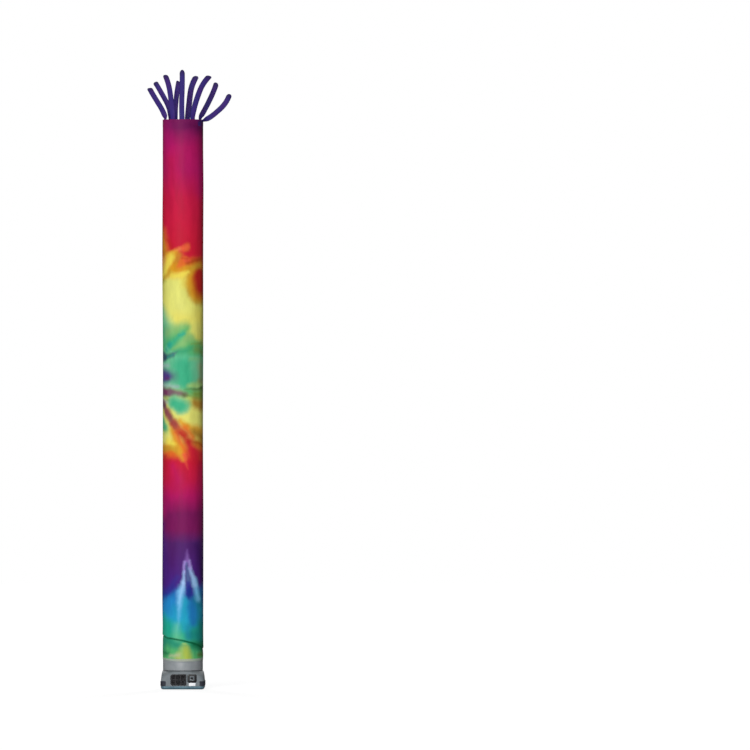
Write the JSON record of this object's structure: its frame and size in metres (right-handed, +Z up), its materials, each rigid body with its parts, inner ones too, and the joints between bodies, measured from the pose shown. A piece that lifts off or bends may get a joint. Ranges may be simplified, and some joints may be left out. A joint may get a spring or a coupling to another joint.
{
  "type": "inflatable air dancer with blower",
  "caption": "Tall hollow cloth tube in tie-dye colours, purple streamers round its open top, standing on a grey floor blower with grille and rocker switch.",
  "frame": {"origin": "middle of the blower's flat underside, on the tube's axis, on the floor", "axes": "+Z up along the tube, -Y the front with the grille and the switch, +X to the right seen from the front"},
  "size_m": [0.9605, 0.591, 6.9882],
  "materials": {
    "tie_dye_cloth": "matte",
    "purple_cloth": "matte",
    "grey_housing": "satin",
    "grey_collar": "satin",
    "blue_grey_tray": "satin",
    "black_grille": "satin",
    "black_panel": "satin",
    "pale_grey_frame": "satin",
    "black_rocker": "gloss",
    "white_label": "satin",
    "black_rubber": "matte"
  },
  "bodies": {
    "dancer": {"tube": "tie_dye_cloth", "streamer_1": "purple_cloth", "streamer_2": "purple_cloth", "streamer_3": "purple_cloth", "streamer_4": "purple_cloth", "streamer_5": "purple_cloth", "streamer_6": "purple_cloth", "streamer_7": "purple_cloth", "streamer_8": "purple_cloth", "streamer_9": "purple_cloth", "tray": "blue_grey_tray", "housing": "grey_housing", "collar": "grey_collar", "intake_grille": "black_grille", "switch_panel": "black_panel", "switch_frame": "pale_grey_frame", "label": "white_label", "corner_pad_front_left": "black_rubber", "corner_pad_front_right": "black_rubber", "corner_pad_rear_right": "black_rubber", "corner_pad_rear_left": "black_rubber", "cable_gland": "black_rubber"},
    "rocker": {"rocker": "black_rocker"}
  },
  "joints": [
    {"name": "rocker_tilt", "type": "hinge", "parent": "dancer", "child": "rocker", "pos_m": [0.1065, -0.247, 0.1235], "axis": [-1, 0, 0], "range_deg": [0, 16]}
  ]
}
